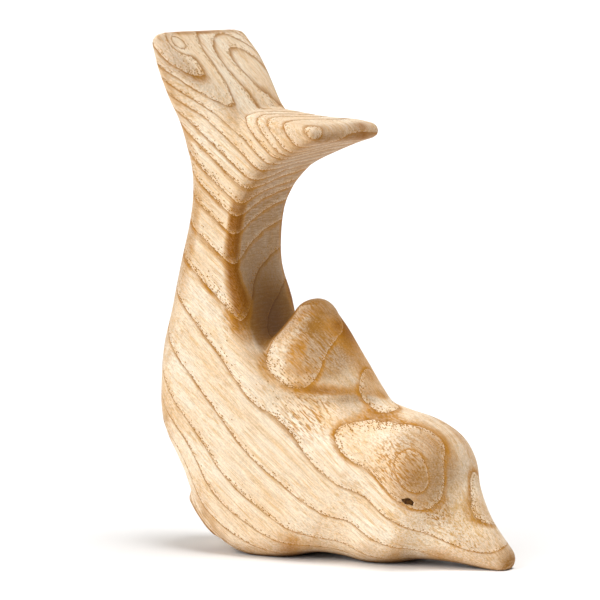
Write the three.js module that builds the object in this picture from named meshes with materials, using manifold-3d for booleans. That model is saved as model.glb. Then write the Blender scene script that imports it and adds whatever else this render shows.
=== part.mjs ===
// A diving dolphin carved from one block of ash, standing on belly, chin and beak with its tail up.
// Millimetres, +Z up, +X towards the beak. The figure is symmetric about y = 0, so its side outline
// is given in the plane of symmetry as [x, z], with x measured forward from the belly's rest.
import * as THREE from 'three';
import Module from 'manifold-3d';
import { mergeVertices } from 'three/addons/utils/BufferGeometryUtils.js';

const wasm = await Module();
wasm.setup();

// Places of the main landmarks in the side outline
const BEAK_X = 75.6;
const BEAK_Z = 3.4;
const CROWN_X = 48.5;
const CROWN_Z = 41.0;
const SHOULDER_X = 23.0;
const SHOULDER_Z = 49.5;
const BELLY_X = -35.1;
const BELLY_Z = 54.0;
const STALK_X = -7.0;
const STALK_Z = 92.0;
const FORK_X = -6.5;
const FORK_Z = 128.6;

// Trunk
const BEAK_WIDTH = 8.8;
const BEAK_ROOT_WIDTH = 19.2;
const HEAD_WIDTH = 32.6;
const NECK_WIDTH = 36.6;
const BODY_WIDTH = 39.6;
const STALK_WIDTH = 28.0;
const STALK_DEPTH = 18.9;
const FORK_WIDTH = 32.6;
const CHEEK_FULLNESS = 3.8;
const BEAK_ROUND = 3.2;
const BEAK_TAPER = THREE.MathUtils.degToRad(25);

// The outline dips below the table by this much where the figure rests, which leaves the flats.
const REST_CUT = 0.8;
const BELLY_ARCH = 1.5;
const THROAT_ARCH = 1.2;

// Hind fluke lobe, the tall one that leans away from the beak
const FLUKE_RISE = 21.0;
const FLUKE_LEAN = 19.9;
const FLUKE_SPAN = 50.0;
const FLUKE_EDGE = 5.0;
const FLUKE_CORNER = 6.5;

// Fore fluke lobe, the one that reaches out over the fin
const LOBE_REACH = 26.8;
const LOBE_DROP = 5.2;
const LOBE_SPAN = 38.4;
const LOBE_EDGE = 5.0;
const LOBE_CORNER = 3.6;
const EDGE_TAPER = THREE.MathUtils.degToRad(15);

// Dorsal fin
const FIN_X = 9.8;
const FIN_TOP = 73.5;
const FIN_THICKNESS = 29.0;
const FIN_WEDGE = 0.36;
const FIN_TIP_ROUND = 6.6;
const FIN_TAPER = THREE.MathUtils.degToRad(20);

// Pectoral fins, folded against the belly
const PECTORAL_Y = 9.0;
const PECTORAL_WIDTH = 12.0;
const PECTORAL_TIP_X = -25.4;
const PECTORAL_TIP_Z = 15.4;
const PECTORAL_THICKNESS = 4.6;

// Pin knot on the cheek that faces -Y, in front of and below the crown
const KNOT_AHEAD = 2.3;
const KNOT_BELOW = 21.2;
const KNOT_LENGTH = 3.4;
const KNOT_HEIGHT = 1.8;
const KNOT_DEPTH = 2.0;
const KNOT_TILT = THREE.MathUtils.degToRad(-14);
const KNOT_GAP = 0.3;

// Fineness of the surfaces
const RING_SIDES = 40;
const RINGS_PER_STATION = 3;
const TIP_RINGS = 5;
const KNOT_SIDES = 20;
const lerp = THREE.MathUtils.lerp;

// The table that the rests are cut by is wider than the figure.
const TABLE_SPAN = 400;
const TABLE_DEPTH = 40;

// Where on the flank the cheek is fullest and how far it spreads, as shares of the section's height
const CHEEK_HEIGHT = 0.5;
const CHEEK_SPREAD = 0.4;

// A section is a superellipse across the figure: back and belly are its ends in the plane of symmetry,
// width its size across, squareBack and squareBelly the exponents of its two halves. Cheek fills the
// flanks out by that much, and wedge is the share of the width that is lost towards the back.
function section(back, belly, width, squareBack, squareBelly = squareBack, { cheek = 0, wedge = 0 } = {}) {
  return {
    back: new THREE.Vector2(...back),
    belly: new THREE.Vector2(...belly),
    half: width / 2,
    squareBack,
    squareBelly,
    cheek,
    wedge,
  };
}

function signedPower(value, power) {
  return Math.sign(value) * Math.abs(value) ** power;
}

function ringOf({ back, belly, half, squareBack, squareBelly, cheek, wedge }) {
  const centre = back.clone().add(belly).multiplyScalar(0.5);
  const reach = back.clone().sub(centre);
  const points = [];
  for (let side = 0; side < RING_SIDES; side += 1) {
    const angle = (side / RING_SIDES) * 2 * Math.PI;
    const power = 2 / (Math.sin(angle) > 0 ? squareBack : squareBelly);
    const along = signedPower(Math.sin(angle), power);
    const flank = Math.exp(-(((along - CHEEK_HEIGHT) / CHEEK_SPREAD) ** 2));
    const girth = half * (1 - wedge * (along + 1) * 0.5);
    const across = signedPower(Math.cos(angle), power) * girth + Math.cos(angle) * cheek * flank;
    points.push(new THREE.Vector3(centre.x + reach.x * along, across, centre.y + reach.y * along));
  }
  return points;
}

// Sections between the stations lie on smooth curves through them.
function between(stations) {
  const curveOf = (pick) => new THREE.CatmullRomCurve3(stations.map(pick), false, 'centripetal');
  const back = curveOf((s) => new THREE.Vector3(s.back.x, s.back.y, 0));
  const belly = curveOf((s) => new THREE.Vector3(s.belly.x, s.belly.y, 0));
  const girth = curveOf((s) => new THREE.Vector3(s.half, s.cheek, s.wedge));
  const square = curveOf((s) => new THREE.Vector3(s.squareBack, s.squareBelly, 0));
  const count = (stations.length - 1) * RINGS_PER_STATION;
  const sections = [];
  for (let i = 0; i <= count; i += 1) {
    const t = i / count;
    const b = back.getPoint(t);
    const v = belly.getPoint(t);
    const g = girth.getPoint(t);
    const q = square.getPoint(t);
    sections.push(section([b.x, b.y], [v.x, v.y], 2 * g.x, q.x, q.y, { cheek: g.y, wedge: g.z }));
  }
  return sections;
}

// Rounds the end of a loft over: radius along its edge, corner at the two ends of that edge.
// A loft that already tapers to its end starts part of the way round the curve.
function roundedTip(last, heading, radius, corner = radius, taper = 0) {
  const forward = new THREE.Vector2(...heading).normalize();
  const sections = [];
  for (let i = 1; i <= TIP_RINGS; i += 1) {
    const angle = lerp(taper, Math.PI * 0.5, i / TIP_RINGS);
    const turn = Math.cos(taper) - Math.cos(angle);
    const advance = forward.clone().multiplyScalar(radius * (Math.sin(angle) - Math.sin(taper)));
    const inward = last.belly.clone().sub(last.back).setLength(radius * turn);
    const back = last.back.clone().add(inward).add(advance);
    const belly = last.belly.clone().sub(inward).add(advance);
    const width = 2 * (last.half - corner * turn);
    const { squareBack, squareBelly, wedge } = last;
    sections.push(section(back.toArray(), belly.toArray(), width, squareBack, squareBelly, { wedge }));
  }
  return sections;
}

// The order of the sections decides which way the triangles face.
function facingOut(positions, index) {
  const corner = (i) => new THREE.Vector3().fromArray(positions, index[i] * 3);
  let volume = 0;
  for (let i = 0; i < index.length; i += 3) {
    volume += corner(i).dot(corner(i + 1).cross(corner(i + 2)));
  }
  return volume < 0 ? index.reverse() : index;
}

function loft(sections) {
  const rings = sections.map(ringOf);
  const positions = rings.flat().flatMap((p) => p.toArray());
  const index = [];
  const at = (ring, side) => ring * RING_SIDES + (side % RING_SIDES);
  for (let r = 0; r + 1 < rings.length; r += 1) {
    for (let s = 0; s < RING_SIDES; s += 1) {
      index.push(at(r, s), at(r, s + 1), at(r + 1, s));
      index.push(at(r, s + 1), at(r + 1, s + 1), at(r + 1, s));
    }
  }
  const close = (ring, flip) => {
    const middle = new THREE.Vector3();
    rings[ring].forEach((p) => middle.addScaledVector(p, 1 / RING_SIDES));
    const hub = positions.length / 3;
    positions.push(...middle.toArray());
    for (let s = 0; s < RING_SIDES; s += 1) {
      if (flip) index.push(hub, at(ring, s + 1), at(ring, s));
      else index.push(hub, at(ring, s), at(ring, s + 1));
    }
  };
  close(0, true);
  close(rings.length - 1, false);
  const geometry = new THREE.BufferGeometry();
  geometry.setAttribute('position', new THREE.Float32BufferAttribute(positions, 3));
  geometry.setIndex(facingOut(positions, index));
  return geometry;
}

function solidOf(geometry) {
  const bare = geometry.clone();
  bare.deleteAttribute('normal');
  bare.deleteAttribute('uv');
  const merged = mergeVertices(bare, 1e-4);
  return new wasm.Manifold(new wasm.Mesh({
    numProp: 3,
    vertProperties: new Float32Array(merged.attributes.position.array),
    triVerts: new Uint32Array(merged.index.array),
  }));
}

function geometryOf(solid) {
  const { vertProperties, triVerts } = solid.getMesh();
  const geometry = new THREE.BufferGeometry();
  geometry.setAttribute('position', new THREE.BufferAttribute(new Float32Array(vertProperties), 3));
  geometry.setIndex(new THREE.BufferAttribute(new Uint32Array(triVerts), 1));
  return geometry;
}

// Places measured from the landmarks
const beak = (x, z) => [BEAK_X + x, BEAK_Z + z];
const crown = (x, z) => [CROWN_X + x, CROWN_Z + z];
const shoulder = (x, z) => [SHOULDER_X + x, SHOULDER_Z + z];
const belly = (x, z) => [BELLY_X + x, BELLY_Z + z];
const stalk = (x, z) => [STALK_X + x, STALK_Z + z];
const stalkFront = (x, z) => [STALK_X - STALK_DEPTH + x, STALK_Z + z];
const fork = (x, z) => [FORK_X + x, FORK_Z + z];
const forkFront = (x, z) => [STALK_X - STALK_DEPTH + x, FORK_Z + z];

// The long body from the beak to the tip of the hind fluke lobe, back outline first
function trunkSections() {
  const fluke = (share, x, z) => fork(x - FLUKE_LEAN * share, z + FLUKE_RISE * share);
  const flukeWidth = (share) => lerp(FORK_WIDTH, FLUKE_SPAN, share);
  const headWidth = (share) => lerp(BEAK_ROOT_WIDTH, HEAD_WIDTH, share);
  const bodyWidth = (share) => lerp(BODY_WIDTH, STALK_WIDTH, share);
  const cheek = (share) => ({ cheek: CHEEK_FULLNESS * share });
  const edgeDrop = FLUKE_EDGE * 0.7;
  const stations = [
    section(beak(-2.0, 2.6), [BEAK_X - 3.4, -REST_CUT], BEAK_WIDTH, 2.2, 2.6),
    section(beak(-6.0, 7.2), [BEAK_X - 11.0, 0.3], lerp(BEAK_WIDTH, BEAK_ROOT_WIDTH, 0.46), 1.9, 2.6),
    section(beak(-10.0, 12.8), [BEAK_X - 20.0, THROAT_ARCH], BEAK_ROOT_WIDTH, 1.9, 2.6),
    section(crown(12.9, -17.0), [CROWN_X - 1.5, 1.2], headWidth(0.46), 2.3, 2.8, cheek(0.21)),
    section(crown(10.6, -10.0), [CROWN_X - 8.5, -0.6], headWidth(0.84), 2.6, 3, cheek(0.63)),
    section(crown(6.6, -4.2), [CROWN_X - 15.5, -REST_CUT], HEAD_WIDTH, 2.6, 3.4, cheek(1)),
    section(crown(0, 0), [CROWN_X - 23.0, 0.6], HEAD_WIDTH, 2.4, 3.6, cheek(0.75)),
    section(shoulder(17.0, -6.0), [SHOULDER_X - 6.0, BELLY_ARCH], NECK_WIDTH, 2.1, 4.4, cheek(0.2)),
    section(shoulder(9.0, -3.5), [SHOULDER_X - 17.0, -REST_CUT], lerp(NECK_WIDTH, BODY_WIDTH, 0.6), 2.1, 5),
    section(shoulder(0, 0), [SHOULDER_X - 31.0, 0.2], BODY_WIDTH, 2.1, 5),
    section(shoulder(-9.0, 3.0), belly(15.8, -46.4), BODY_WIDTH, 2.5, 4.2),
    section(shoulder(-16.5, 6.0), belly(8.0, -33.8), bodyWidth(0.12), 4.4, 3),
    section(shoulder(-21.4, 10.0), belly(0.4, -18.4), bodyWidth(0.26), 6.5, 3.2),
    section(stalk(4.7, -27.0), belly(0, 0), bodyWidth(0.48), 7.5, 3.4),
    section(stalk(2.9, -19.0), belly(3.2, 16.0), bodyWidth(0.74), 8, 3.6),
    section(stalk(0.1, -10.0), stalkFront(-2.8, -9.0), bodyWidth(0.91), 8, 3.8),
    section(stalk(0, 0), stalkFront(0, 2.0), STALK_WIDTH, 8, 3.8),
    section(stalk(1.9, 9.0), stalkFront(1.2, 11.0), STALK_WIDTH, 8, 3.8),
    section(fork(6.6, -18.6), forkFront(0.8, -17.6), lerp(STALK_WIDTH, FORK_WIDTH, 0.12), 7, 4),
    section(fork(7.0, -8.6), forkFront(-0.4, -11.6), lerp(STALK_WIDTH, FORK_WIDTH, 0.36), 5, 4.5),
    section(fork(0, 0), forkFront(-1.6, -5.0), FORK_WIDTH, 4.5, 4.5),
    section(fluke(0.34, 0.3, 0.4), forkFront(-2.9, 2.6), flukeWidth(0.46), 4.5, 4.5),
    section(fluke(0.7, 0, 0.4), fluke(0.7, -8.8, -3.6), flukeWidth(0.9), 4.5, 4.5),
    section(fluke(1, 0, 0), fluke(1, -edgeDrop, -edgeDrop), flukeWidth(0.92), 4.5, 4.5),
  ];
  const trunk = between(stations);
  const beakTip = roundedTip(trunk[0], [1, -0.35], BEAK_ROUND, BEAK_ROUND, BEAK_TAPER).reverse();
  const flukeTip = roundedTip(trunk.at(-1), [-0.55, 0.83], FLUKE_EDGE * 0.48, FLUKE_CORNER, EDGE_TAPER);
  return [...beakTip, ...trunk, ...flukeTip];
}

// The fluke lobe that reaches out over the fin, upper face first
function lobeSections() {
  const lobe = (share, x, z) => fork(LOBE_REACH * share + x, z - LOBE_DROP * share);
  const width = (share) => lerp(STALK_WIDTH + 0.6, LOBE_SPAN, share);
  const stations = between([
    section(fork(-9.5, -3.6), fork(-7.5, -25.6), STALK_WIDTH - 2.4, 4.5),
    section(fork(0.5, -1.0), fork(2.0, -25.1), STALK_WIDTH + 0.8, 4.5),
    section(lobe(0.32, 0, -0.2), lobe(0.35, 0, -16.3), width(0.12), 4.5),
    section(lobe(0.62, 0, 0.1), lobe(0.65, 0, -10.3), width(0.45), 4.5),
    section(lobe(0.86, 0, 0.8), lobe(0.88, 0, -LOBE_EDGE - 1.2), width(0.86), 4.5),
    section(lobe(1, 0, 0.6), lobe(1, 0.1, 0.6 - LOBE_EDGE), width(1), 4.5),
  ]);
  const tip = roundedTip(stations.at(-1), [1, -0.15], LOBE_EDGE * 0.48, LOBE_CORNER, EDGE_TAPER);
  return [...stations, ...tip];
}

// The dorsal fin, leading edge first; thick and flat behind, running out on the back in front
function finSections() {
  const fin = (x, drop) => [FIN_X + x, FIN_TOP - drop];
  const wedge = FIN_WEDGE;
  const stations = between([
    section(fin(33.0, 36.8), fin(-12.0, 37.0), FIN_THICKNESS, 1.9, 2.4, { wedge: wedge * 1.4 }),
    section(fin(26.6, 29.2), fin(-16.4, 29.0), FIN_THICKNESS * 1.15, 2, 3.2, { wedge: wedge * 1.2 }),
    section(fin(22.2, 24.6), fin(-18.8, 24.4), FIN_THICKNESS * 1.27, 2.1, 4, { wedge }),
    section(fin(18.6, 19.6), fin(-17.2, 19.6), FIN_THICKNESS * 1.22, 2.1, 4.2, { wedge }),
    section(fin(14.7, 14.0), fin(-12.6, 14.4), FIN_THICKNESS * 0.99, 2.2, 4, { wedge }),
    section(fin(11.0, 8.0), fin(-7.4, 8.6), FIN_THICKNESS * 0.7, 2.2, 3.4, { wedge }),
    section(fin(8.2, 4.2), fin(-4.2, 4.2), FIN_THICKNESS * 0.49, 2.2, 3, { wedge }),
  ]);
  const tip = roundedTip(stations.at(-1), [0, 1], FIN_TIP_ROUND, FIN_TIP_ROUND, FIN_TAPER);
  return [...stations, ...tip];
}

function pectoralSections() {
  const fold = (x, z) => [PECTORAL_TIP_X + x, PECTORAL_TIP_Z + z];
  const stations = between([
    section(fold(27.6, -8.0), fold(25.6, -16.4), PECTORAL_WIDTH * 0.84, 2.4),
    section(fold(13.0, -4.0), fold(9.0, -11.2), PECTORAL_WIDTH, 2.4),
    section(fold(6.6, 0.6), fold(3.4, -5.2), PECTORAL_WIDTH * 0.92, 2.4),
    section(fold(3.8, 2.0), fold(1.2, 2.0 - PECTORAL_THICKNESS), PECTORAL_WIDTH * 0.7, 2.4),
  ]);
  return [...stations, ...roundedTip(stations.at(-1), [-0.75, 0.6], PECTORAL_THICKNESS * 0.36)];
}

// An elliptical peg that points out of the cheek
function knotPeg(clearance) {
  const inner = HEAD_WIDTH / 2 - KNOT_DEPTH - clearance;
  const outer = HEAD_WIDTH;
  return solidOf(new THREE.CylinderGeometry(1, 1, outer - inner, KNOT_SIDES)
    .scale(KNOT_LENGTH / 2 + clearance, 1, KNOT_HEIGHT / 2 + clearance)
    .rotateY(KNOT_TILT)
    .translate(CROWN_X + KNOT_AHEAD, -(inner + outer) / 2, CROWN_Z - KNOT_BELOW));
}

function carvedFigure() {
  const pectoral = loft(pectoralSections());
  const pieces = [
    loft(lobeSections()),
    loft(finSections()),
    pectoral.clone().translate(0, -PECTORAL_Y, 0),
    pectoral.clone().translate(0, PECTORAL_Y, 0),
  ];
  const whole = pieces.reduce((sum, piece) => sum.add(solidOf(piece)), solidOf(loft(trunkSections())));
  const table = new THREE.BoxGeometry(TABLE_SPAN, TABLE_SPAN, TABLE_DEPTH);
  return whole.subtract(solidOf(table.translate(0, 0, -TABLE_DEPTH / 2)));
}

const ash = new THREE.MeshStandardMaterial({ color: 0xe6c79a, roughness: 0.6, metalness: 0 });
const darkKnot = new THREE.MeshStandardMaterial({ color: 0x5c3a1e, roughness: 0.7, metalness: 0 });

const figure = new THREE.Group();

function addPiece(name, solid, material) {
  const mesh = new THREE.Mesh(geometryOf(solid), material);
  mesh.name = name;
  figure.add(mesh);
}

const carved = carvedFigure();
addPiece('carved_block', carved.subtract(knotPeg(KNOT_GAP)), ash);
addPiece('cheek_knot', carved.intersect(knotPeg(0)), darkKnot);

// The origin is under the middle of the figure, on the table.
const middle = new THREE.Box3().setFromObject(figure).getCenter(new THREE.Vector3());
figure.children.forEach((mesh) => mesh.geometry.translate(-middle.x, -middle.y, 0));

export default figure;
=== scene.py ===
"""A diving dolphin carved from one block of ash: its sanded skin, its pin knot, the grain, and a studio."""

import math

import bmesh
import bpy
from bpy.props import FloatProperty, FloatVectorProperty, IntProperty, PointerProperty
from mathutils import Matrix, Vector, noise


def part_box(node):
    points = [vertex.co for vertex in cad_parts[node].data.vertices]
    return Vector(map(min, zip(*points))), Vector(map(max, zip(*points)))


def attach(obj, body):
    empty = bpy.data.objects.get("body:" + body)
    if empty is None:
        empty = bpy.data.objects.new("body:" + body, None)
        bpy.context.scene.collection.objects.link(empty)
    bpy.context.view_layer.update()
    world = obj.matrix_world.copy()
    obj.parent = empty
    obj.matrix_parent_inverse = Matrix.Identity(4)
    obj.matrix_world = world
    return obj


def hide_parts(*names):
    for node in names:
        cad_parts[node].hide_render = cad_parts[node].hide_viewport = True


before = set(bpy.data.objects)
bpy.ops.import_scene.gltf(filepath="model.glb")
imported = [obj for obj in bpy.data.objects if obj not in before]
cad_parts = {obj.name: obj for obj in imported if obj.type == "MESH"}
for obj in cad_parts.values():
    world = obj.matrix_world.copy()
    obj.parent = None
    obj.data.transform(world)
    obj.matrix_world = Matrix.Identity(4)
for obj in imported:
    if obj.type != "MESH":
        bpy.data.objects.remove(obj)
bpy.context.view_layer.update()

bl_info = {
    "name": "Carved Ash Dolphin",
    "version": (1, 0, 0),
    "blender": (4, 5, 0),
    "location": "View3D > Sidebar > Dolphin",
    "description": "Finishes a dolphin carved from one block of ash and sets it in a studio",
    "category": "Object",
}

MM = 0.001
BODY = "root"
BLOCK_NODE = "carved_block"
KNOT_NODE = "cheek_knot"
FORWARD = (1.0, 0.0, 0.0)
ACROSS = (0.0, 1.0, 0.0)
UP = (0.0, 0.0, 1.0)
DOWN = (0.0, 0.0, -1.0)

# The grain of the block, in millimetres. The fibres run forward and down through the figure.
FIBRE_SLOPE = math.radians(38.5)
RING_CENTRE = Vector((-10.0, -10.0, 50.0))

# A point's distance across the rings grows by these shares of its way along, across and up the fibres.
RING_LEAN = {"along": -0.045, "across": -0.73, "up": 0.68}

# The rings bend with the product of two of those ways, measured in this length.
BEND_LENGTH = 50.0
RING_BEND = {
    ("across", "across"): 0.28,
    ("across", "up"): 0.24,
    ("up", "up"): -0.057,
    ("along", "across"): -0.33,
}

# Swells push the rings up or down round a place: its name, middle, radius and lift.
SWELLS = (
    ("forehead", (44.9, 12.1, 15.4), 19.1, 27.6),
    ("face", (44.1, -7.4, 26.5), 9.9, -4.9),
    ("fluke", (-44.0, 18.0, 142.0), 26.0, -13.8),
    ("fluke's corner", (-44.0, -18.0, 147.0), 3.8, -3.6),
    ("belly", (-36.0, -12.0, 10.0), 15.0, 2.7),
    ("fin", (-5.1, -10.1, 57.7), 11.7, 10.9),
    ("fin's front", (-0.4, -6.1, 55.2), 10.1, -10.8),
    ("nape", (14.8, 1.8, 50.2), 10.0, 13.5),
    ("cheek", (10.2, -19.4, 37.2), 9.5, 4.1),
    ("cheek's crown", (30.5, -15.9, 31.8), 5.0, 3.0),
    ("cheek's heart", (34.5, -16.2, 25.2), 5.5, 4.0),
)

# How far the rings stray from their even course, for each pattern that they stray by
RING_STRAY = {"slow wander": 1.0, "ragged edge": 0.35}

# Ring widths from the far side of the belly to the flukes, and where the first one starts
FAR_RINGS = (6.0,) * 6
BODY_RINGS = (5.1, 4.1, 6.8, 7.3, 6.2)
TAIL_RINGS = (5.7, 4.0, 3.0, 2.2, 2.7, 1.9, 2.2, 1.9, 1.9, 1.6, 1.4, 2.2, 3.2, 3.0)
RING_WIDTHS = FAR_RINGS + BODY_RINGS + TAIL_RINGS
RING_START = -57.9
WIDEST_RING = max(RING_WIDTHS)

# How bold the line is at the start of each ring and at the end of the last one. The boldest line ends
# the body's rings: it runs round the fin and the cheek and across the foot of the tail's stalk.
FAR_LINES = (0.3,) * 6
BODY_LINES = (0.2, 0.2, 0.22, 0.24, 0.26)
TAIL_LINES = (0.55, 0.42) + (0.36,) * 4 + (0.2,) * 9
LINES = FAR_LINES + BODY_LINES + TAIL_LINES

# Places where a line is bolder than elsewhere along its ring, or fainter with a factor below 1:
# name, middle, radius and factor
BOLD_PLACES = (
    ("fin's foot", (-10.0, -15.0, 52.0), 11.0, 2.2),
    ("stalk's foot", (-25.5, -16.0, 66.0), 8.0, 2.2),
    ("fork", (-27.0, -14.0, 127.0), 12.0, 0.3),
    ("cheek's heart", (32.5, -16.3, 28.5), 9.0, 0.55),
    ("cheek's back", (20.0, -17.0, 34.0), 12.0, 0.6),
)

# Places where the knife ran across the grain and left short dark flecks: name, middle and radius
FLECKED = (
    ("fin", (-4.0, -9.0, 61.0), 14.0),
    ("fin's top", (-8.0, -5.0, 70.0), 9.0),
    ("saddle", (-2.0, -16.0, 43.0), 12.0),
    ("cheek", (28.0, -17.0, 30.0), 14.0),
    ("beak's root", (38.0, -13.0, 17.0), 7.0),
    ("stalk's foot", (-26.0, -16.0, 67.5), 6.0),
)

# Places where the streaks along the fibres are bolder: name, middle, radius and factor
STREAKED = (
    ("beak", (45.0, -8.0, 12.0), 11.0, 1.9),
    ("throat", (30.0, -15.0, 13.0), 12.0, 1.4),
)

# Places where faces that look forward get more painted shade, or less with a share below 0:
# name, middle, radius and extra share
FORWARD_SHADE = (
    ("fin's front", (-1.0, -8.0, 60.0), 14.0, 0.72),
    ("fin's flank", (-8.0, -6.0, 69.0), 8.0, 0.6),
    ("cheek's front", (33.0, -13.0, 32.0), 14.0, 0.6),
    ("face", (44.0, -3.0, 18.0), 9.0, -0.25),
    ("nape", (10.0, -8.0, 45.0), 9.0, 0.5),
    ("beak's tip", (55.0, -1.0, 5.0), 6.0, 0.3),
    ("fork", (-29.0, -15.0, 127.0), 16.0, -0.3),
    ("beak", (44.0, -8.0, 6.0), 14.0, -0.35),
    ("chin", (15.0, -17.0, 10.0), 15.0, -0.35),
)

# The hollow behind the fin, which is painted in shade: its middle, its radius, and how far
# the painted shade reaches to each side of the figure's middle
HOLLOW_PLACE = (-22.0, 0.0, 64.0)
HOLLOW_RADIUS = 31.0
HOLLOW_HALF = 15.2

# Places whose edges are sanded pale again: name, middle and radius
PALE_EDGES = (
    ("beak", (50.0, -3.0, 6.0), 18.0),
    ("near belly", (-20.0, -16.0, 3.0), 16.0),
    ("near chin", (15.0, -15.0, 5.0), 16.0),
    ("near cheek", (34.0, -16.0, 25.0), 20.0),
    ("far cheek", (34.0, 16.0, 25.0), 20.0),
    ("near fluke", (-42.0, -23.0, 138.0), 25.0),
    ("front fluke", (-6.0, -9.0, 121.0), 23.0),
    ("stalk's top", (-22.0, -14.0, 110.0), 15.0),
    ("fork", (-29.0, -15.0, 127.0), 17.0),
    ("stalk's foot", (-20.5, -16.0, 59.0), 12.0),
    ("fin's top", (-6.0, 0.0, 72.0), 9.0),
    ("front fluke's tip", (2.0, 17.0, 122.0), 9.0),
    ("fork's far side", (-27.0, 12.0, 130.0), 15.0),
    ("far fluke", (-42.0, 23.0, 138.0), 25.0),
)

# Patterns in the wood: how long each is along the fibres, how wide across them, and how detailed
PATTERNS = {
    "slow wander": (45.0, 9.0, 2.0),
    "ragged edge": (5.0, 1.1, 2.0),
    "clouds": (26.0, 9.0, 2.0),
    "soft streaks": (26.0, 1.2, 2.0),
    "fine streaks": (14.0, 0.32, 1.0),
    "faint patches": (16.0, 9.0, 1.0),
    "flecks": (3.0, 0.5, 1.0),
    "specks": (1.5, 0.3, 0.0),
    "mottling": (2.6, 0.6, 2.0),
    "line strength": (8.0, 3.0, 2.0),
    "fibres": (8.0, 0.24, 2.0),
    "grit": (0.5, 0.35, 1.0),
}

# Rays cross the fibres: how many of each kind there are in a millimetre along, across and up the fibres
RAYS = {"rays": (3.0, 0.3, 3.0), "dark rays": (2.2, 0.25, 2.2)}
RAY_DETAIL = 2.0


class DolphinSkin(bpy.types.PropertyGroup):
    """Sizes of the sanded wooden skin and of the knot in it"""

    fineness: FloatProperty(
        name="Fineness",
        description="Edge of the cells that the skin is made of",
        default=0.66 * MM,
        min=0.3 * MM,
        unit="LENGTH",
    )
    sanding: IntProperty(
        name="Sanding",
        description="Passes that soften the creases between the carved forms",
        default=8,
        min=0,
    )
    waviness: FloatProperty(
        name="Waviness",
        description="How uneven the hand left the surface",
        default=0.25 * MM,
        min=0.0,
        unit="LENGTH",
    )
    knot_length: FloatProperty(
        name="Knot length",
        description="Length of the dark pin knot on the cheek",
        default=3.5 * MM,
        unit="LENGTH",
    )
    knot_height: FloatProperty(
        name="Knot height",
        description="Height of the dark pin knot on the cheek",
        default=1.7 * MM,
        unit="LENGTH",
    )
    knot_tilt: FloatProperty(
        name="Knot tilt",
        description="Turn of the knot in the cheek",
        default=math.radians(14),
        subtype="ANGLE",
    )
    knot_crack: FloatProperty(
        name="Knot crack",
        description="Gap between the knot and the wood round it",
        default=0.07 * MM,
        unit="LENGTH",
    )


def colour(name, description, default):
    """A colour that the user may change."""
    return FloatVectorProperty(
        name=name,
        description=description,
        default=default,
        subtype="COLOR",
        min=0,
        max=1,
    )


class DolphinAsh(bpy.types.PropertyGroup):
    """Colours and sizes of the ash grain"""

    cream: colour("Cream", "Pale wood", (0.92, 0.795, 0.625))
    peach: colour("Peach", "Warmer clouds in the pale wood", (0.86, 0.66, 0.45))
    honey: colour("Honey", "Streaks along the fibres", (0.66, 0.36, 0.085))
    ochre: colour("Ochre", "Dense wood where a ring ends", (0.52, 0.225, 0.024))
    line_tint: colour("Line", "Core of the line between two rings", (0.33, 0.135, 0.018))
    pore: colour("Pore", "Open pores where a ring starts", (0.13, 0.05, 0.006))
    end: colour("End grain", "Wood cut across its fibres", (0.30, 0.138, 0.028))
    # The hollow colour is painted shade in the hollow behind the fin.
    hollow: colour("Hollow", "Oil that stays in the hollow behind the fin", (0.30, 0.126, 0.010))
    burnish: colour("Burnish", "Edges that hands and sanding have darkened", (0.26, 0.086, 0.003))
    knot: colour("Knot", "Dark wood of the pin knot", (0.05, 0.02, 0.006))
    pore_size: FloatProperty(
        name="Pore spacing",
        description="Distance between pores",
        default=0.31 * MM,
        unit="LENGTH",
    )
    pore_length: FloatProperty(
        name="Pore length",
        description="Length of a pore along the fibres",
        default=0.6 * MM,
        unit="LENGTH",
    )
    pore_band: FloatProperty(
        name="Pore band",
        description="Depth of the band of open pores behind the boldest line",
        default=1.0 * MM,
        unit="LENGTH",
    )
    line: FloatProperty(
        name="Ring line",
        description="Width of the thin line where a ring ends",
        default=0.22 * MM,
        unit="LENGTH",
    )
    dense: FloatProperty(
        name="Dense wood",
        description="Depth over which the wood darkens in front of the boldest line",
        default=1.9 * MM,
        unit="LENGTH",
    )
    roughness: FloatProperty(
        name="Roughness",
        description="Roughness of the oiled surface",
        default=0.5,
        subtype="FACTOR",
        min=0,
        max=1,
    )


class DolphinStudio(bpy.types.PropertyGroup):
    """Camera and lights"""

    azimuth: FloatProperty(
        name="Azimuth",
        description="Camera's turn from the figure's side towards its beak",
        default=math.radians(30),
        subtype="ANGLE",
    )
    elevation: FloatProperty(
        name="Elevation",
        description="Camera's height as an angle",
        default=math.radians(5.4),
        subtype="ANGLE",
    )
    distance: FloatProperty(
        name="Distance",
        description="From the camera to the point that it looks at",
        default=1.1,
        unit="LENGTH",
    )
    view_width: FloatProperty(
        name="View width",
        description="Width of the picture at the figure",
        default=172.8 * MM,
        unit="LENGTH",
    )
    target: FloatVectorProperty(
        name="Target",
        description="Point that the camera looks at",
        default=(-13.75 * MM, 0.0, 72.9 * MM),
        subtype="XYZ",
        unit="LENGTH",
    )
    front: FloatProperty(
        name="Front light",
        description="Strength of the soft light in front of the figure",
        default=2.1,
        min=0,
    )
    top: FloatProperty(
        name="Top light",
        description="Strength of the soft light overhead",
        default=2.4,
        min=0,
    )
    sky: FloatProperty(
        name="Sky",
        description="Strength of the even light all round",
        default=0.15,
        min=0,
    )
    floor: colour("Floor", "Colour of the floor and backdrop", (0.95, 0.95, 0.95))


# Modelling helpers


def object_of(mesh, name):
    """A bmesh as a new smooth object of the scene."""
    for face in mesh.faces:
        face.smooth = True
    data = bpy.data.meshes.new(name)
    mesh.to_mesh(data)
    mesh.free()
    piece = bpy.data.objects.new(name, data)
    bpy.context.scene.collection.objects.link(piece)
    return piece


def apply_modifiers(piece):
    """Turns a piece's modifiers into its mesh."""
    graph = bpy.context.evaluated_depsgraph_get()
    data = bpy.data.meshes.new_from_object(piece.evaluated_get(graph))
    piece.modifiers.clear()
    piece.data = data


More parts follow.
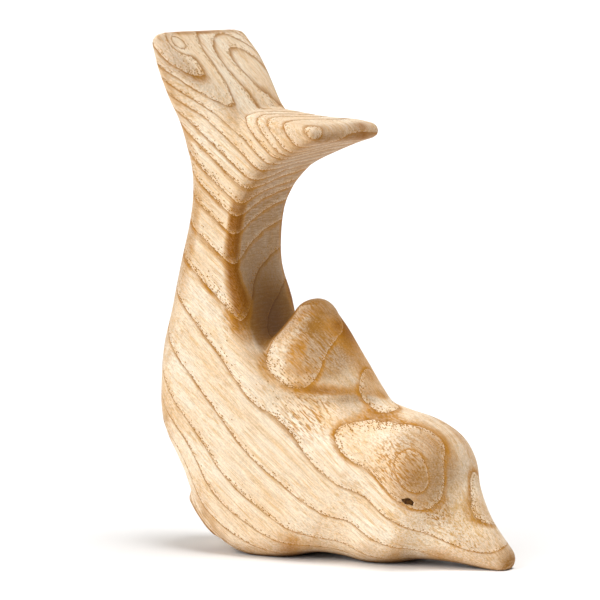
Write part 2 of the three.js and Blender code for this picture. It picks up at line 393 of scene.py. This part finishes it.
def cut(piece, tool, operation):
    """Cuts a piece with a closed tool shape, and throws the tool away."""
    boolean = piece.modifiers.new("cut", "BOOLEAN")
    boolean.operation = operation
    boolean.solver = "EXACT"
    boolean.object = tool
    apply_modifiers(piece)
    bpy.data.objects.remove(tool)


def dress(piece, node, material):
    """Gives a piece its material and says which part of the frame it stands for."""
    piece.data.materials.clear()
    piece.data.materials.append(material)
    for face in piece.data.polygons:
        face.use_smooth = True
        face.material_index = 0
    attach(piece, BODY)
    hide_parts(node)


# The carved skin

WELD = 0.001 * MM

# Length of the waves that the hand left, and the room round the frame's knot where its pocket's floor lies
WAVE_LENGTH = 14.0 * MM
POCKET_MARGIN = 1.0 * MM

# Each smoothing pass moves a point this share of the way to the middle of its neighbours.
SMOOTHING = 0.5


def close_knot_pocket(mesh):
    """Takes the knot's pocket out of the block, so that the cheek is whole again."""
    low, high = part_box(KNOT_NODE)
    pocket_floor = []
    for vert in mesh.verts:
        beside = low.x - POCKET_MARGIN < vert.co.x < high.x + POCKET_MARGIN
        level = low.z - POCKET_MARGIN < vert.co.z < high.z + POCKET_MARGIN
        behind = high.y < vert.co.y < high.y + POCKET_MARGIN
        if beside and level and behind:
            pocket_floor.append(vert)
    bmesh.ops.delete(mesh, geom=pocket_floor, context="VERTS")
    rim = [edge for edge in mesh.edges if edge.is_boundary]
    filled = bmesh.ops.holes_fill(mesh, edges=rim)
    bmesh.ops.triangulate(mesh, faces=filled["faces"])


def sanded_block(sizes, name):
    """The carved block as one even skin, with its creases sanded soft."""
    mesh = bmesh.new()
    mesh.from_mesh(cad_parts[BLOCK_NODE].data)
    bmesh.ops.remove_doubles(mesh, verts=mesh.verts, dist=WELD)
    close_knot_pocket(mesh)
    block = object_of(mesh, name)
    remesh = block.modifiers.new("skin", "REMESH")
    remesh.mode = "VOXEL"
    remesh.voxel_size = sizes.fineness
    sanding = block.modifiers.new("sanding", "SMOOTH")
    sanding.factor = SMOOTHING
    sanding.iterations = sizes.sanding
    apply_modifiers(block)
    mesh = bmesh.new()
    mesh.from_mesh(block.data)
    for vert in mesh.verts:
        wave = noise.noise(vert.co / WAVE_LENGTH)
        vert.co += vert.normal * wave * sizes.waviness
        vert.co.z = max(vert.co.z, 0.0)
    mesh.to_mesh(block.data)
    mesh.free()
    return block


# An edge is what this many smoothing passes would take away.
EDGE_LAYER = "edge"
EDGE_PASSES = 50


def mark_edges(piece):
    """Stores how far each point stands out from the surface round it, in millimetres: high on the edges."""
    mesh = bmesh.new()
    mesh.from_mesh(piece.data)
    layer = mesh.verts.layers.float.new(EDGE_LAYER)
    before = [(vert.co.copy(), vert.normal.copy()) for vert in mesh.verts]
    every_way = {"use_axis_x": True, "use_axis_y": True, "use_axis_z": True}
    for _ in range(EDGE_PASSES):
        bmesh.ops.smooth_vert(mesh, verts=mesh.verts, factor=SMOOTHING, **every_way)
    for vert, (place, normal) in zip(mesh.verts, before):
        vert[layer] = (place - vert.co).dot(normal) / MM
        vert.co = place
    mesh.to_mesh(piece.data)
    mesh.free()


# The knot

KNOT_SIDES = 48

# How far the plug reaches behind the frame's knot, and stands out of the cheek until it is cut
KNOT_ROOT = 2.0 * MM
KNOT_PROUD = 4.0 * MM

# The knot's outline swells and shrinks by about this share, with this many lumps to its radius.
KNOT_RAGGED = 0.4
KNOT_LUMPS = 1.7


def knot_plug(sizes, gap):
    """A ragged oval plug through the cheek's surface, where the frame has the knot."""
    low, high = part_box(KNOT_NODE)
    middle = (low + high) / 2
    mesh = bmesh.new()
    ring = bmesh.ops.create_circle(mesh, segments=KNOT_SIDES, radius=1.0, cap_ends=True)["verts"]
    for vert in ring:
        ragged = 1.0 + KNOT_RAGGED * noise.noise(vert.co * KNOT_LUMPS)
        vert.co.x *= ragged * (sizes.knot_length / 2) + gap
        vert.co.y *= ragged * (sizes.knot_height / 2) + gap
    outer = bmesh.ops.extrude_face_region(mesh, geom=mesh.faces[:])
    raised = [item for item in outer["geom"] if isinstance(item, bmesh.types.BMVert)]
    depth = high.y - low.y + KNOT_PROUD + KNOT_ROOT
    bmesh.ops.translate(mesh, verts=raised, vec=(0, 0, depth))
    turn = Matrix.Rotation(sizes.knot_tilt, 4, "Y") @ Matrix.Rotation(math.radians(90), 4, "X")
    place = Matrix.Translation((middle.x, high.y + KNOT_ROOT + gap, middle.z))
    bmesh.ops.transform(mesh, verts=mesh.verts, matrix=place @ turn)
    bmesh.ops.recalc_face_normals(mesh, faces=mesh.faces)
    return object_of(mesh, "plug")


# Material helpers

BUMP_STRENGTH = 0.7


class Finish:
    """One material's node tree, with short calls for the nodes that it needs."""

    def __init__(self, name):
        self.material = bpy.data.materials.new(name)
        self.material.use_nodes = True
        self.tree = self.material.node_tree
        self.tree.nodes.clear()
        self.output = self.tree.nodes.new("ShaderNodeOutputMaterial")

    def feed(self, socket, value):
        """Links another node's socket to this one, or sets a plain value."""
        if isinstance(value, bpy.types.NodeSocket):
            self.tree.links.new(value, socket)
        else:
            socket.default_value = value

    def node(self, kind, label="", **settings):
        """A new node with its settings."""
        made = self.tree.nodes.new(kind)
        made.label = label
        for name, value in settings.items():
            setattr(made, name, value)
        return made

    def math(self, operation, *values, label=""):
        """A sum on plain numbers."""
        made = self.node("ShaderNodeMath", label, operation=operation)
        for socket, value in zip(made.inputs, values):
            self.feed(socket, value)
        return made.outputs[0]

    def times(self, first, *others):
        """The product of some numbers."""
        for other in others:
            first = self.math("MULTIPLY", first, other)
        return first

    def vector(self, operation, *values, label=""):
        """A sum on vectors, which gives a vector or a number."""
        made = self.node("ShaderNodeVectorMath", label, operation=operation)
        for socket, value in zip(made.inputs, values):
            self.feed(socket, value)
        scalar = operation in {"DOT_PRODUCT", "DISTANCE", "LENGTH"}
        return made.outputs["Value" if scalar else "Vector"]

    def fade(self, value, start, end, low=0.0, high=1.0):
        """A soft step from low to high while value goes from start to end."""
        made = self.node("ShaderNodeMapRange", interpolation_type="SMOOTHSTEP")
        for socket, item in zip(made.inputs, (value, start, end, low, high)):
            self.feed(socket, item)
        return made.outputs["Result"]

    def mix(self, share, first, second, blend="MIX"):
        """The first colour with a share of the second one laid over it."""
        made = self.node("ShaderNodeMix", data_type="RGBA", blend_type=blend)
        self.feed(made.inputs["Factor"], share)
        for socket, value in zip(made.inputs[6:8], (first, second)):
            self.feed(socket, value if isinstance(value, bpy.types.NodeSocket) else (*value, 1.0))
        return made.outputs[2]

    def noise(self, place, detail, label):
        """Cloudy values round a half, about one unit of place apart."""
        made = self.node("ShaderNodeTexNoise", label)
        self.feed(made.inputs["Vector"], place)
        made.inputs["Scale"].default_value = 1.0
        made.inputs["Detail"].default_value = detail
        return made.outputs["Fac"]

    def ramp(self, share, stops, label):
        """A curve of straight stretches through stops, each a place from 0 to 1 and a value."""
        made = self.node("ShaderNodeValToRGB", label)
        ramp = made.color_ramp
        while len(ramp.elements) < len(stops):
            ramp.elements.new(1.0)
        for element, (place, value) in zip(ramp.elements, stops):
            element.position = place
            element.color = (value, value, value, 1.0)
        self.feed(made.inputs["Fac"], share)
        return made.outputs["Color"]

    def millimetres(self, centre, turn, label):
        """Millimetres from a centre, along axes turned from the figure's, and the surface's normal."""
        coordinates = self.node("ShaderNodeTexCoord")
        mapping = self.node("ShaderNodeMapping", label)
        mapping.inputs["Rotation"].default_value = turn.to_euler()
        mapping.inputs["Location"].default_value = -(turn @ centre)
        mapping.inputs["Scale"].default_value = (1 / MM, 1 / MM, 1 / MM)
        self.feed(mapping.inputs["Vector"], coordinates.outputs["Object"])
        return mapping.outputs["Vector"], coordinates.outputs["Normal"]

    def surface(self, base, roughness, height, depth, specular):
        """Ends the tree in an oiled wood surface."""
        shader = self.node("ShaderNodeBsdfPrincipled")
        bump = self.node("ShaderNodeBump")
        bump.inputs["Strength"].default_value = BUMP_STRENGTH
        bump.inputs["Distance"].default_value = depth
        self.feed(bump.inputs["Height"], height)
        self.feed(shader.inputs["Base Color"], base)
        self.feed(shader.inputs["Roughness"], roughness)
        self.feed(shader.inputs["Normal"], bump.outputs["Normal"])
        shader.inputs["Specular IOR Level"].default_value = specular
        self.feed(self.output.inputs["Surface"], shader.outputs["BSDF"])
        return self.material


# The grain's coordinates, in millimetres along, across and up the fibres

# What holds in a place is whole within this share of its radius. Flecks and the hollow's painted shade fade
# sooner.
PLACE_CORE = 0.4
SOFT_CORE = 0.3


def fibre_turn():
    """Turns the figure's frame so that X runs along the fibres."""
    return Matrix.Rotation(-FIBRE_SLOPE, 3, "Y")


def away_from(finish, place, middle, name):
    """Distance from a named place of the figure."""
    centre = fibre_turn() @ (Vector(middle) - RING_CENTRE)
    return finish.vector("DISTANCE", place, centre, label=name)


def around(finish, place, spot, here, elsewhere, core=PLACE_CORE):
    """One value in a spot, given by its name, middle and radius, that fades to another elsewhere."""
    name, middle, radius = spot
    return finish.fade(away_from(finish, place, middle, name), core * radius, radius, here, elsewhere)


def stretched(finish, place, along, across):
    """Coordinates whose unit is this long along the fibres and this wide across them."""
    return finish.vector("MULTIPLY", place, (1 / along, 1 / across, 1 / across))


def pattern(finish, place, name):
    """One of the wood's patterns, as values round a half."""
    along, across, detail = PATTERNS[name]
    return finish.noise(stretched(finish, place, along, across), detail, name)


def ray_pattern(finish, place, name):
    """Rays of one kind, as values round a half."""
    return finish.noise(finish.vector("MULTIPLY", place, RAYS[name]), RAY_DETAIL, name)


# The growth rings


def ring_distance(finish, place):
    """Distance across the growth rings."""
    split = finish.node("ShaderNodeSeparateXYZ")
    finish.feed(split.inputs[0], place)
    ways = dict(zip(RING_LEAN, split.outputs))
    total = finish.vector("DOT_PRODUCT", place, tuple(RING_LEAN.values()), label="lean")
    for (first, second), bend in RING_BEND.items():
        product = finish.math("MULTIPLY", ways[first], ways[second], label=f"{first} by {second}")
        total = finish.math("MULTIPLY_ADD", product, bend / BEND_LENGTH, total)
    for name, middle, radius, lift in SWELLS:
        share = finish.math("DIVIDE", away_from(finish, place, middle, name), radius)
        fall = finish.math("EXPONENT", finish.times(share, share, -1.0))
        total = finish.math("MULTIPLY_ADD", fall, lift, total)
    for name, stray in RING_STRAY.items():
        aside = finish.math("SUBTRACT", pattern(finish, place, name), 0.5)
        total = finish.math("MULTIPLY_ADD", aside, stray, total)
    return total


def ring_bands(finish, place, distance):
    """How far a point lies after its ring's start and before its end, and how bold the line there is."""
    whole = sum(RING_WIDTHS)
    count = len(RING_WIDTHS)
    share = finish.math("DIVIDE", finish.math("SUBTRACT", distance, RING_START), whole)
    starts = [sum(RING_WIDTHS[:ring]) / whole for ring in range(count + 1)]
    numbers = [(start, ring / count) for ring, start in enumerate(starts)]
    part = finish.math("FRACT", finish.times(finish.ramp(share, numbers, "ring number"), count))
    middles = [(first + second) / 2 for first, second in zip(starts, starts[1:])]
    widths = [(middle, width / WIDEST_RING) for middle, width in zip(middles, RING_WIDTHS)]
    width = finish.times(finish.ramp(share, widths, "ring width"), WIDEST_RING)
    after = finish.times(part, width)
    before = finish.math("SUBTRACT", width, after)
    bold = finish.ramp(share, list(zip(starts, LINES)), "bold lines")
    for *spot, factor in BOLD_PLACES:
        bold = finish.times(bold, around(finish, place, spot, factor, 1.0))
    return after, before, bold


def decay(finish, distance, length, strength):
    """Falls from strength to nothing over a few lengths."""
    share = finish.math("DIVIDE", distance, length)
    return finish.times(finish.math("EXPONENT", finish.times(share, -1.0)), strength)


# Where a ring starts, most cells hold a pore. The shares are those of a pore and of the stain round it.
PORE_CHANCE = 0.95
PORE_SHARE = 0.92
PORE_STAIN = 0.8


def open_pores(finish, place, after, bold, wood):
    """Shares of the stain round the open pores and of the pores, in the band where each ring starts."""
    cells = finish.node("ShaderNodeTexVoronoi", "pores")
    spacing = stretched(finish, place, wood.pore_length / MM, wood.pore_size / MM)
    finish.feed(cells.inputs["Vector"], spacing)
    cells.inputs["Scale"].default_value = 1.0
    chance = finish.node("ShaderNodeSeparateColor")
    finish.feed(chance.inputs[0], cells.outputs["Color"])
    band = finish.times(bold, wood.pore_band / MM)
    there = finish.math("LESS_THAN", chance.outputs[0], decay(finish, after, band, PORE_CHANCE))
    stain = finish.fade(cells.outputs["Distance"], 0.45, 0.75, PORE_STAIN, 0.0)
    pore = finish.fade(cells.outputs["Distance"], 0.25, 0.42, PORE_SHARE, 0.0)
    return finish.times(stain, there), finish.times(pore, there)


LINE_SHARE = 0.95


def dense_wood(finish, place, before, bold, wood):
    """Shares of the dense wood before a ring's end: a mottled band, and the thin line behind it."""
    mottling = finish.fade(pattern(finish, place, "mottling"), 0.36, 0.62, 0.55, 1.0)
    strength = finish.fade(pattern(finish, place, "line strength"), 0.3, 0.6, 0.6, 1.0)
    depth = finish.math("DIVIDE", before, finish.times(bold, wood.dense / MM))
    band = finish.fade(depth, 0.3, 1.3, 1.0, 0.0)
    boldness = finish.fade(bold, 0.2, 0.5, 0.7, 1.0)
    line = decay(finish, before, wood.line / MM, LINE_SHARE)
    return finish.times(band, mottling, boldness, strength), finish.times(line, strength)


# The pale wood

# Greatest shares of the streaks, flecks and specks
SOFT_STREAKS = 0.36
FINE_STREAKS = 0.42
FLECKS = 0.85
SPECKS = 0.6

# Share of the flecks outside their places: in most of the wood, and in a few faint patches
STRAY_FLECKS = (0.05, 0.3)


def flecked_places(finish, place):
    """Share of the flecks: whole in the flecked places and faint in a few patches elsewhere."""
    share = finish.fade(pattern(finish, place, "faint patches"), 0.46, 0.66, *STRAY_FLECKS)
    for spot in FLECKED:
        share = finish.math("MAXIMUM", share, around(finish, place, spot, 1.0, 0.0, SOFT_CORE))
    return share


def pale_wood(finish, place, wood):
    """Cream wood with warm clouds, streaks and patches of short flecks, and the pattern of its streaks."""
    boost = 1.0
    for *spot, factor in STREAKED:
        boost = finish.times(boost, around(finish, place, spot, factor, 1.0))
    patches = flecked_places(finish, place)
    streaks = pattern(finish, place, "fine streaks")
    soft = finish.fade(pattern(finish, place, "soft streaks"), 0.46, 0.7, high=SOFT_STREAKS)
    fine = finish.fade(streaks, 0.5, 0.7, high=FINE_STREAKS)
    flecks = finish.fade(pattern(finish, place, "flecks"), 0.48, 0.64, high=FLECKS)
    specks = finish.fade(pattern(finish, place, "specks"), 0.6, 0.74, high=SPECKS)
    clouds = finish.fade(pattern(finish, place, "clouds"), 0.3, 0.7)
    base = finish.mix(clouds, wood.cream, wood.peach)
    base = finish.mix(finish.times(soft, boost), base, wood.honey)
    base = finish.mix(finish.times(fine, boost), base, wood.honey)
    base = finish.mix(finish.times(flecks, patches), base, wood.ochre)
    base = finish.mix(finish.times(specks, patches), base, wood.line_tint)
    return base, streaks


# The oil and the painted shade

# Greatest shares of the oil on wood that is cut at a glancing angle, cut square, or looks back up the
# fibres.
# The first two, on wood that looks down the fibres, are partly painted shade on faces turned from the front
# light.
GLANCING_OIL_AND_SHADE = 0.26
SQUARE_OIL_AND_SHADE = 0.64
BACKWARD_OIL = 0.14


def end_grain_and_shade(finish, place, normal):
    """Share of the end grain, darker with painted shade where it looks down the fibres or forward, and how
    much oil an edge took: more if it looks down the fibres than up.
    """
    along = fibre_turn().transposed() @ Vector(FORWARD)
    facing = finish.vector("DOT_PRODUCT", normal, along, label="cut across")
    glancing = finish.fade(facing, 0.06, 0.4, high=GLANCING_OIL_AND_SHADE)
    square = finish.fade(facing, 0.4, 0.95, high=SQUARE_OIL_AND_SHADE)
    down = finish.math("ADD", glancing, square)
    forward = finish.fade(finish.vector("DOT_PRODUCT", normal, FORWARD), -0.1, 0.3)
    # Painted shade on faces that look forward, more or less of it in the listed places
    for *spot, extra in FORWARD_SHADE:
        down = finish.math("MULTIPLY_ADD", around(finish, place, spot, extra, 0.0), forward, down)
    down = finish.math("MAXIMUM", down, 0.0)
    back = finish.fade(facing, -0.45, -0.95, high=BACKWARD_OIL)
    rays = finish.fade(ray_pattern(finish, place, "rays"), 0.3, 0.7, 0.7, 1.0)
    share = finish.times(finish.math("ADD", down, back), rays)
    return share, finish.fade(facing, -0.6, 0.2, 0.3, 1.0)


# Greatest share of the painted shade in the hollow behind the fin
HOLLOW_SHADE = 0.97


def painted_hollow_shade(finish, place, normal):
    """Share of the painted shade that darkens the stalk's inner face, down to the foot of the fin."""
    spot = ("hollow", HOLLOW_PLACE, HOLLOW_RADIUS)
    near = around(finish, place, spot, HOLLOW_SHADE, 0.0, SOFT_CORE)
    rays = finish.fade(ray_pattern(finish, place, "dark rays"), 0.35, 0.6, 0.92, 1.0)
    across = finish.vector("DOT_PRODUCT", place, ACROSS, label="across the stalk")
    aside = finish.math("ABSOLUTE", finish.math("ADD", across, RING_CENTRE.y))
    inside = finish.fade(aside, 0.8 * HOLLOW_HALF, HOLLOW_HALF, 1.0, 0.0)
    inner = finish.math("ABSOLUTE", finish.vector("DOT_PRODUCT", normal, FORWARD, label="inner face"))
    rising = finish.vector("DOT_PRODUCT", normal, UP, label="hollow's floor")
    facing = finish.math("MAXIMUM", inner, finish.fade(rising, 0.6, 0.85))
    return finish.times(near, rays, inside, finish.fade(facing, 0.2, 0.5))


# How far an edge stands out, in millimetres, where its stain begins and where its dark core is whole
EDGE_FAINT = 0.1
EDGE_STRONG = 0.36
EDGE_STAIN = 0.8

# Share of the stain and core that stays where edges are sanded pale
PALE_REST = 0.25


def worn_edges(finish, place, streaks, oil):
    """Shares of the edges: a wide ochre stain, and a dark core where hands have worn them."""
    edge = finish.node("ShaderNodeAttribute", "edges", attribute_name=EDGE_LAYER).outputs["Fac"]
    share = finish.times(oil, finish.fade(streaks, 0.3, 0.7, 0.75, 1.0))
    for spot in PALE_EDGES:
        share = finish.times(share, around(finish, place, spot, PALE_REST, 1.0))
    stain = finish.fade(edge, EDGE_FAINT, 0.6 * EDGE_STRONG, high=EDGE_STAIN)
    core = finish.fade(edge, 0.4 * EDGE_STRONG, EDGE_STRONG)
    return finish.times(stain, share), finish.times(core, share)


# Up to this height from where the figure stands, the wood darkens in ochre streaks of these shares,
# and faces there that look down take painted shade of this share.
RIM_HEIGHT = 4.0
RIM_DARKENING = (0.05, 0.15)
UNDERSIDE_SHADE = 0.95


def standing_rim(finish, place, normal, streaks):
    """Shares of the ochre streaks that darken the wood towards where the figure stands, and of the painted
    shade on the underside there.
    """
    rise = fibre_turn() @ Vector(UP)
    height = finish.math("ADD", finish.vector("DOT_PRODUCT", place, rise, label="height"), RING_CENTRE.z)
    low = finish.fade(height, 0.1 * RIM_HEIGHT, RIM_HEIGHT, 1.0, 0.0)
    rim = finish.times(low, finish.fade(streaks, 0.35, 0.65, *RIM_DARKENING))
    # Painted shade on faces that look down, near where the figure stands
    falling = finish.vector("DOT_PRODUCT", normal, DOWN, label="underside")
    return rim, finish.times(low, finish.fade(falling, 0.75, 0.95, high=UNDERSIDE_SHADE))


# The ash

# Depth of the open wood at a ring's start, which takes less oil, and how much less
EARLY_WOOD = 0.4
EARLY_LESS = 0.75

# How the fibres and the grit left by sanding darken or lighten the wood
FIBRE_SHADE = (0.88, 1.06)
GRIT_SHADE = (0.9, 1.08)

# How much smoother or rougher than the rest the oiled surface is in places, and how much rougher a pore is
POLISHED = 0.05
DULL = 0.07
PORE_ROUGH = 0.2

# How far the fibres stand up beside a pore's depth, that depth, and how much the oil shines
FIBRE_HEIGHT = 0.25
PORE_DEPTH = 0.05 * MM
ASH_SHINE = 0.08


def ash_material(wood):
    """Pale ash, with darker wood, oil and painted shade laid over it coat by coat."""
    finish = Finish("ash")
    place, normal = finish.millimetres(RING_CENTRE, fibre_turn(), "along the fibres")
    after, before, bold = ring_bands(finish, place, ring_distance(finish, place))
    base, streaks = pale_wood(finish, place, wood)
    across, oil = end_grain_and_shade(finish, place, normal)
    late = finish.math("SUBTRACT", 1.0, decay(finish, after, EARLY_WOOD, EARLY_LESS))
    band, line = dense_wood(finish, place, before, bold, wood)
    hollow = painted_hollow_shade(finish, place, normal)
    stained, worn = worn_edges(finish, place, streaks, finish.times(oil, late))
    rim, underside_shade = standing_rim(finish, place, normal, streaks)
    pore_stain, pores = open_pores(finish, place, after, bold, wood)
    coats = (
        # End grain, with painted shade where it looks down the fibres or forward
        (finish.times(across, late), wood.end),
        (band, wood.ochre),
        (line, wood.line_tint),
        # Painted shade in the hollow behind the fin, with its ring lines darkened as painted shade too
        (hollow, wood.hollow),
        (finish.times(hollow, line), wood.pore),
        (stained, wood.ochre),
        (worn, wood.burnish),
        (rim, wood.ochre),
        # Painted shade on the underside near where the figure stands
        (underside_shade, wood.pore),
        (pore_stain, wood.ochre),
        (pores, wood.pore),
    )
    for share, tint in coats:
        base = finish.mix(share, base, tint)
    fibres = pattern(finish, place, "fibres")
    grit = finish.fade(pattern(finish, place, "grit"), 0.25, 0.75, *GRIT_SHADE)
    shade = finish.times(finish.fade(fibres, 0.3, 0.7, *FIBRE_SHADE), grit)
    base = finish.mix(1.0, base, shade, "MULTIPLY")
    polish = finish.fade(streaks, 0.3, 0.7, wood.roughness - POLISHED, wood.roughness + DULL)
    roughness = finish.math("MULTIPLY_ADD", pores, PORE_ROUGH, polish)
    height = finish.math("SUBTRACT", finish.times(fibres, FIBRE_HEIGHT), pores)
    return finish.surface(base, roughness, height, PORE_DEPTH, ASH_SHINE)


# The knot's wood

# Lumps to the millimetre, the turn of its fine rings for each millimetre, and how far the lumps shift them
KNOT_GRAIN = (2.2, 2.2, 2.2)
KNOT_RINGS = 9.0
KNOT_SHIFT = 5.0
KNOT_DETAIL = 3.0
KNOT_RELIEF = 0.06 * MM
KNOT_SHINE = 0.06


def knot_material(wood):
    """Dark knot wood with fine uneven rings."""
    finish = Finish("knot")
    low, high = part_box(KNOT_NODE)
    centre = (low + high) / 2 / MM
    place, _ = finish.millimetres(centre, Matrix.Identity(3), "knot's middle")
    lumps = finish.noise(finish.vector("MULTIPLY", place, KNOT_GRAIN), KNOT_DETAIL, "lumps")
    turns = finish.times(finish.vector("LENGTH", place), KNOT_RINGS)
    rings = finish.math("SINE", finish.math("MULTIPLY_ADD", lumps, KNOT_SHIFT, turns))
    base = finish.mix(finish.fade(rings, -1.0, 1.0, 0.0, 0.5), wood.knot, wood.pore)
    roughness = finish.fade(lumps, 0.3, 0.7, 0.5, 0.75)
    return finish.surface(base, roughness, rings, KNOT_RELIEF, KNOT_SHINE)


# The studio

FLOOR_HALF = 3.0
SWEEP_RADIUS = 0.6
SWEEP_STEPS = 16
BACKDROP_HEIGHT = 2.5
PAPER_ROUGHNESS = 0.9
PAPER_SHINE = 0.1
SENSOR_WIDTH = 36.0
LIGHT_DISTANCE = 1.5

# Where each soft light stands and the angle that it fills, in degrees
FRONT_LIGHT = {"azimuth": -28, "elevation": 25, "spread": 60}
TOP_LIGHT = {"azimuth": 98, "elevation": 78, "spread": 32}


def paper(tint):
    """Plain matt paper."""
    finish = Finish("paper")
    shader = finish.node("ShaderNodeBsdfPrincipled")
    shader.inputs["Base Color"].default_value = (*tint, 1.0)
    shader.inputs["Roughness"].default_value = PAPER_ROUGHNESS
    shader.inputs["Specular IOR Level"].default_value = PAPER_SHINE
    finish.feed(finish.output.inputs["Surface"], shader.outputs["BSDF"])
    return finish.material


def seamless_floor(tint):
    """A floor that sweeps up into a backdrop behind the figure."""
    mesh = bmesh.new()
    bmesh.ops.create_grid(mesh, x_segments=1, y_segments=1, size=FLOOR_HALF)
    far = [edge for edge in mesh.edges if all(vert.co.y > 0 for vert in edge.verts)]
    swept = bmesh.ops.spin(
        mesh,
        geom=far,
        cent=(0, FLOOR_HALF, SWEEP_RADIUS),
        axis=(1, 0, 0),
        angle=math.radians(90),
        steps=SWEEP_STEPS,
    )
    top = [item for item in swept["geom_last"] if isinstance(item, bmesh.types.BMEdge)]
    risen = bmesh.ops.extrude_edge_only(mesh, edges=top)
    verts = [item for item in risen["geom"] if isinstance(item, bmesh.types.BMVert)]
    bmesh.ops.translate(mesh, verts=verts, vec=(0, 0, BACKDROP_HEIGHT))
    bmesh.ops.recalc_face_normals(mesh, faces=mesh.faces)
    floor = object_of(mesh, "floor")
    floor.data.materials.append(paper(tint))


def direction(azimuth, elevation):
    """From the figure to a camera or light. Azimuth 0 is the figure's near side, 90 degrees its beak."""
    level = math.cos(elevation)
    return Vector((math.sin(azimuth) * level, -math.cos(azimuth) * level, math.sin(elevation)))


def aimed(name, data, target, towards, distance):
    """Places a camera or light so that it looks at the target."""
    placed = bpy.data.objects.new(name, data)
    placed.location = target + towards * distance
    placed.rotation_euler = (-towards).to_track_quat("-Z", "Y").to_euler()
    bpy.context.scene.collection.objects.link(placed)
    return placed


def soft_light(name, target, strength, azimuth, elevation, spread):
    """A broad light from far away; its spread is the angle that it fills."""
    lamp = bpy.data.lights.new(name, "SUN")
    lamp.angle = math.radians(spread)
    lamp.energy = strength
    towards = direction(math.radians(azimuth), math.radians(elevation))
    aimed(name, lamp, target, towards, LIGHT_DISTANCE)


def even_sky(strength):
    """White light from all round."""
    world = bpy.data.worlds.new("even sky")
    world.use_nodes = True
    background = world.node_tree.nodes["Background"]
    background.inputs["Color"].default_value = (1.0, 1.0, 1.0, 1.0)
    background.inputs["Strength"].default_value = strength
    bpy.context.scene.world = world


def photo_camera(studio):
    """The camera, with the lens that shows the view's width at the target."""
    lens = bpy.data.cameras.new("camera")
    lens.sensor_width = SENSOR_WIDTH
    lens.lens = SENSOR_WIDTH * studio.distance / studio.view_width
    towards = direction(studio.azimuth, studio.elevation)
    camera = aimed("camera", lens, Vector(studio.target), towards, studio.distance)
    bpy.context.scene.camera = camera


# Operators


class DOLPHIN_OT_figure(bpy.types.Operator):
    """Makes the sanded ash figure, with a pocket in its cheek for the knot"""

    bl_idname = "dolphin.figure"
    bl_label = "Carve the figure"
    bl_options = {"REGISTER", "UNDO"}

    def execute(self, context):
        sizes = context.scene.dolphin_skin
        figure = sanded_block(sizes, "carved_dolphin")
        cut(figure, knot_plug(sizes, sizes.knot_crack), "DIFFERENCE")
        mark_edges(figure)
        dress(figure, BLOCK_NODE, ash_material(context.scene.dolphin_ash))
        return {"FINISHED"}


class DOLPHIN_OT_knot(bpy.types.Operator):
    """Makes the dark pin knot, sanded flush with the cheek"""

    bl_idname = "dolphin.knot"
    bl_label = "Set the knot"
    bl_options = {"REGISTER", "UNDO"}

    def execute(self, context):
        sizes = context.scene.dolphin_skin
        knot = sanded_block(sizes, "pin_knot")
        cut(knot, knot_plug(sizes, 0.0), "INTERSECT")
        if not knot.data.polygons:
            raise RuntimeError("the knot's plug misses the cheek")
        dress(knot, KNOT_NODE, knot_material(context.scene.dolphin_ash))
        return {"FINISHED"}


class DOLPHIN_OT_studio(bpy.types.Operator):
    """Sets up the floor, the soft lights and the camera"""

    bl_idname = "dolphin.studio"
    bl_label = "Set up the studio"
    bl_options = {"REGISTER", "UNDO"}

    def execute(self, context):
        studio = context.scene.dolphin_studio
        target = Vector(studio.target)
        photo_camera(studio)
        seamless_floor(studio.floor)
        soft_light("front", target, studio.front, **FRONT_LIGHT)
        soft_light("top", target, studio.top, **TOP_LIGHT)
        even_sky(studio.sky)
        context.scene.view_settings.view_transform = "Standard"
        return {"FINISHED"}


class DOLPHIN_PT_panel(bpy.types.Panel):
    """Sizes, colours and steps of the carved dolphin"""

    bl_label = "Carved dolphin"
    bl_space_type = "VIEW_3D"
    bl_region_type = "UI"
    bl_category = "Dolphin"

    def draw(self, context):
        for name, group in GROUPS.items():
            box = self.layout.box()
            for setting in group.__annotations__:
                box.prop(getattr(context.scene, name), setting)
        for step in STEPS:
            self.layout.operator(step.bl_idname)


GROUPS = {"dolphin_skin": DolphinSkin, "dolphin_ash": DolphinAsh, "dolphin_studio": DolphinStudio}
STEPS = (DOLPHIN_OT_figure, DOLPHIN_OT_knot, DOLPHIN_OT_studio)
CLASSES = (*GROUPS.values(), *STEPS, DOLPHIN_PT_panel)


def register():
    for made in CLASSES:
        bpy.utils.register_class(made)
    for name, group in GROUPS.items():
        setattr(bpy.types.Scene, name, PointerProperty(type=group))


def unregister():
    for name in GROUPS:
        delattr(bpy.types.Scene, name)
    for made in reversed(CLASSES):
        bpy.utils.unregister_class(made)


def main():
    register()
    bpy.ops.dolphin.figure()
    bpy.ops.dolphin.knot()
    bpy.ops.dolphin.studio()


if __name__ == "__main__":
    main()
